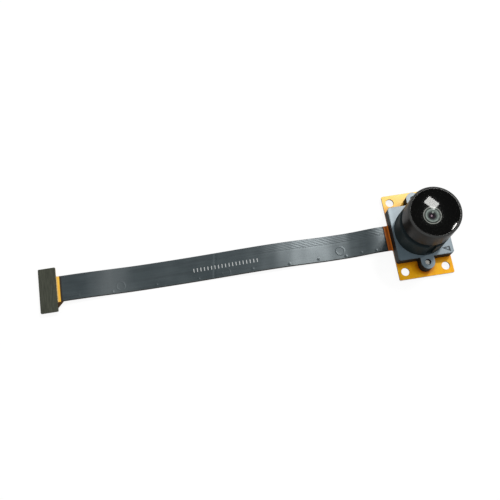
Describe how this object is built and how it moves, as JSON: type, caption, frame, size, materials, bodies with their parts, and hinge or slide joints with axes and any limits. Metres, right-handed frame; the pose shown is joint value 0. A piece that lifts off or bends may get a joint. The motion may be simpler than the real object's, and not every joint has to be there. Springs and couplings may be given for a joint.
{
  "type": "camera module",
  "caption": "Board-level camera with a screw-in lens in a moulded holder on a drilled sensor board, and a flat ribbon that ends in a board-to-board connector.",
  "frame": {"origin": "on the lens axis, at the middle of the sensor board's footprint, on the surface that the screw heads stand on", "axes": "+Z out of the lens along its axis; +X from the connector towards the head, so the ribbon runs along -X; +Y along the board's long side"},
  "size_m": [0.1193, 0.026, 0.0217],
  "materials": {
    "amber_circuit": "glossy amber polyimide film over copper",
    "stiffener": "sawn glass-epoxy laminate",
    "sensor_ceramic": "matt dark ceramic",
    "silicon": "polished silicon",
    "cover_glass": "clear cover glass",
    "capacitor": "sintered ceramic with tinned ends",
    "chip_body": "moulded epoxy",
    "holder_plastic": "fine matt moulded black plastic, greyed by its texture",
    "screw_steel": "plated steel",
    "filter_glass": "coated filter glass",
    "barrel_black": "black anodised, satin",
    "front_glass": "coated glass over a blackened interior",
    "lens_glass": "coated optical glass",
    "ring_black": "matt black",
    "ribbon_film": "satin black shielding film",
    "backing_plate": "dull dark laminate",
    "connector_plastic": "moulded liquid-crystal polymer",
    "contact_gold": "gold flash"
  },
  "bodies": {
    "head": {"flex_board": "amber_circuit", "board_stiffener": "stiffener", "sensor_package": "sensor_ceramic", "sensor_die": "silicon", "sensor_cover_glass": "cover_glass", "capacitors": "capacitor", "resistors": "chip_body", "regulators": "chip_body", "lens_holder": "holder_plastic", "holder_screws": "screw_steel", "ir_filter": "filter_glass", "flex_neck": "amber_circuit", "flex_ribbon": "ribbon_film", "flex_tail": "amber_circuit", "connector_backing": "backing_plate", "connector_housing": "connector_plastic", "connector_contacts": "contact_gold"},
    "lens": {"lens_barrel": "barrel_black", "front_element": "front_glass", "front_spacer": "ring_black", "second_element": "lens_glass", "third_element": "lens_glass", "stop_spacer": "ring_black", "aperture_stop": "ring_black", "middle_spacer": "ring_black", "fourth_element": "lens_glass", "rear_spacer": "ring_black", "fifth_element": "lens_glass", "rear_retainer": "ring_black"}
  },
  "joints": [
    {"name": "focus_turn", "type": "hinge", "parent": "head", "child": "lens", "pos_m": [0, 0, 0.0122], "axis": [0, 0, 1], "range_deg": [-180, 180]}
  ]
}
